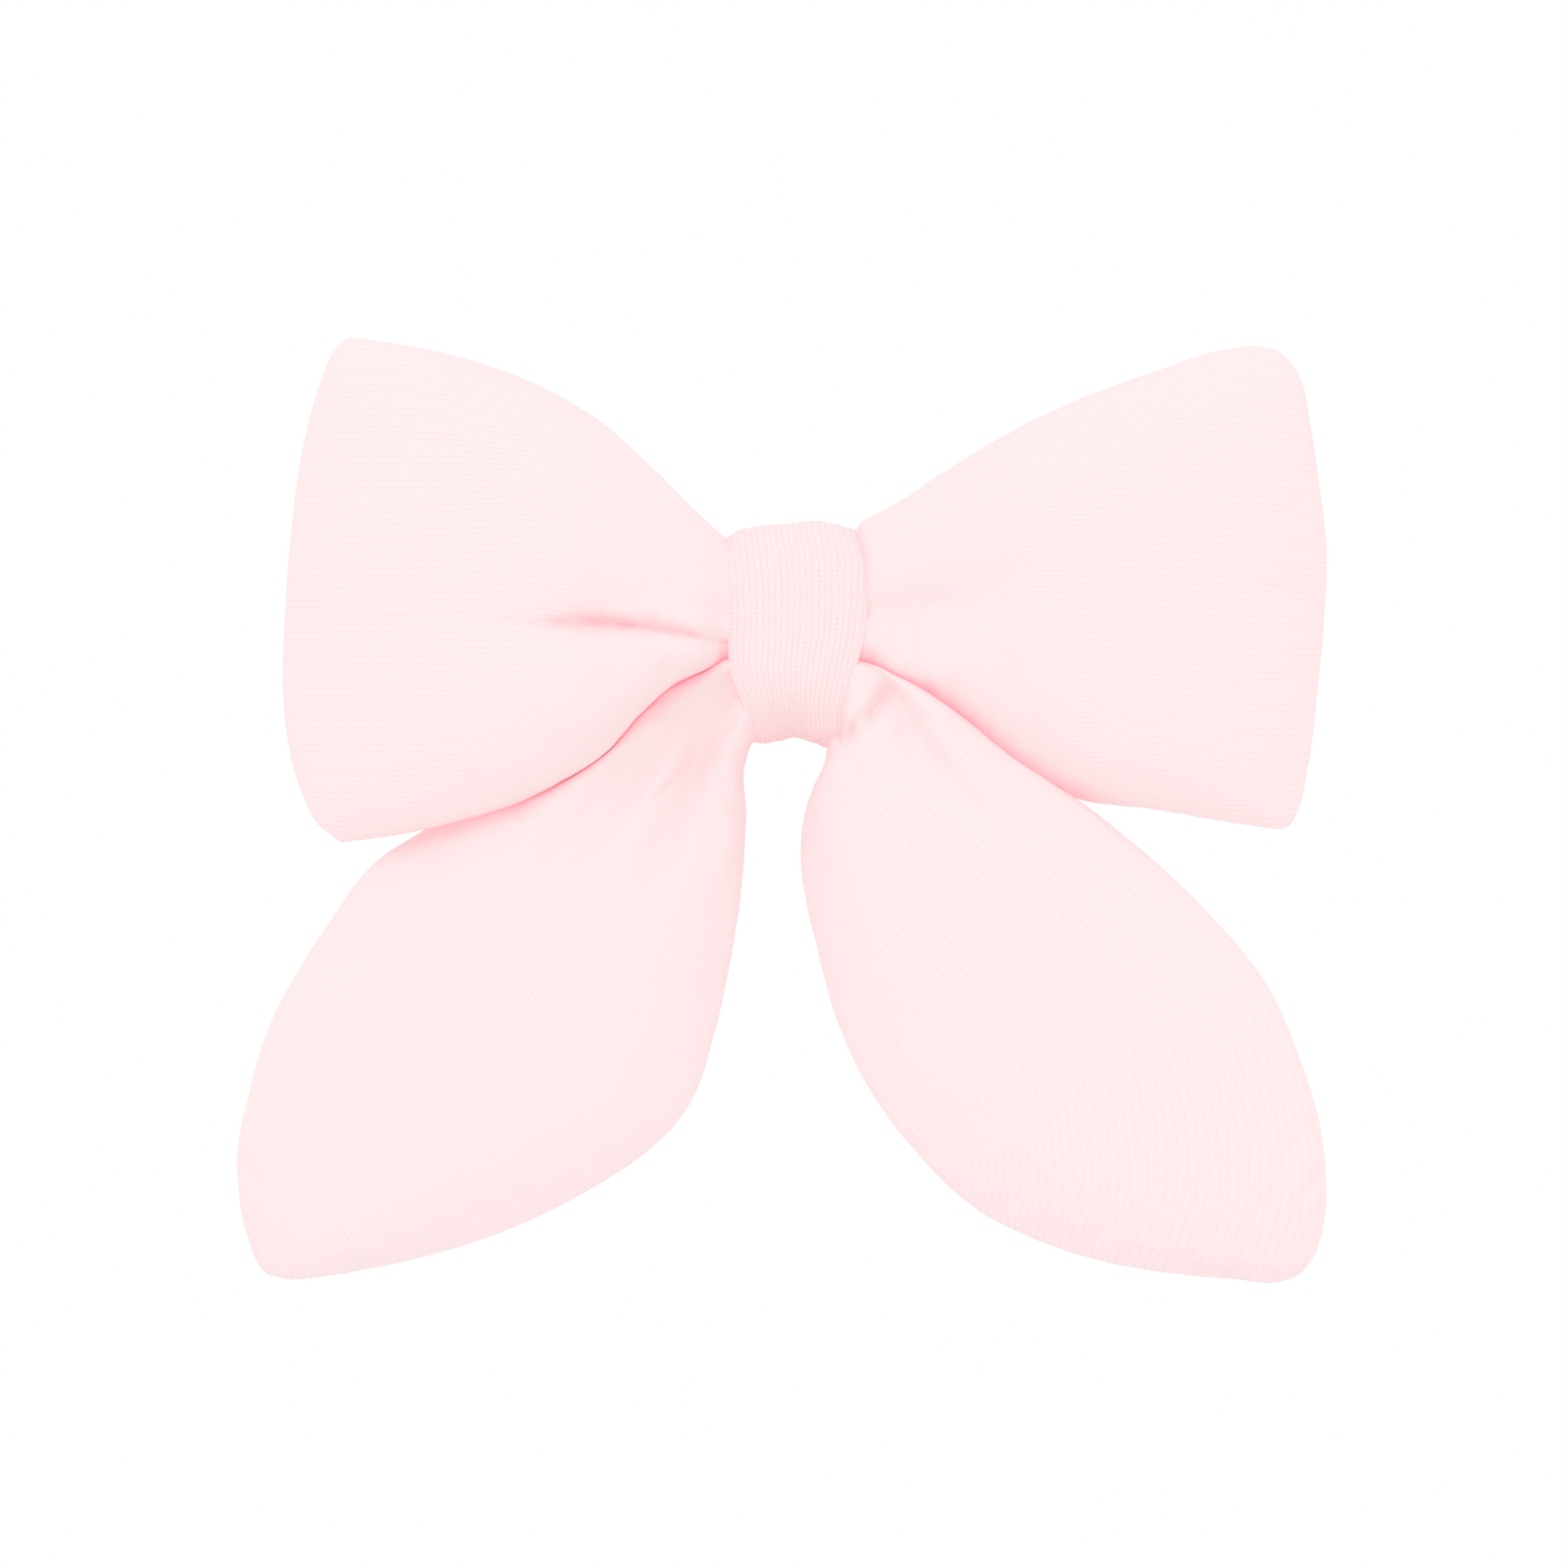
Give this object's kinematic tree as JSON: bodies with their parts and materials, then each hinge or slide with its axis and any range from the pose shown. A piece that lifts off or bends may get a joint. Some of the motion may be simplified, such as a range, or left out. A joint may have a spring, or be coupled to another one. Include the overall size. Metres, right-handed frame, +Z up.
{
  "type": "padded jersey hair bow",
  "caption": "Padded jersey hair bow with puffed loops, two leaf-shaped tails and a doubled centre wrap, on a ribbon-covered alligator clip.",
  "frame": {"origin": "between the clip's closed jaws, behind the middle of the bow's knot", "axes": "+Z up as the bow is worn, with the loops above and the tails below; the bow faces -Y, and +X runs along the clip from the jaws' tip to the levers"},
  "size_m": [0.1212, 0.0276, 0.1044],
  "materials": {
    "pink_jersey": "matte",
    "polyester_wadding": "matte",
    "pink_thread": "satin",
    "grosgrain_ribbon": "satin",
    "melt_glue": "satin",
    "plated_steel": "polished",
    "spring_steel": "satin"
  },
  "bodies": {
    "bow": {"loop_front_panel": "pink_jersey", "loop_back_panel": "pink_jersey", "loop_pad_left": "polyester_wadding", "loop_pad_right": "polyester_wadding", "tail_front_panel": "pink_jersey", "tail_back_panel": "pink_jersey", "tail_pad_left": "polyester_wadding", "tail_pad_right": "polyester_wadding", "gather_thread": "pink_thread", "centre_wrap": "pink_jersey", "wrap_stitches": "pink_thread", "glue_pad": "melt_glue", "clip_upper_arm": "plated_steel", "arm_ribbon": "grosgrain_ribbon", "clip_pin": "plated_steel", "clip_spring": "spring_steel"},
    "jaw": {"clip_lower_jaw": "plated_steel"}
  },
  "joints": [
    {"name": "jaw_hinge", "type": "hinge", "parent": "bow", "child": "jaw", "pos_m": [0.015, 0.0004, 0], "axis": [0, 0, -1], "range_deg": [0, 30], "stiffness_Nm_per_rad": 0.06, "springref_deg": -85.94, "deforming": ["clip_spring"]}
  ]
}
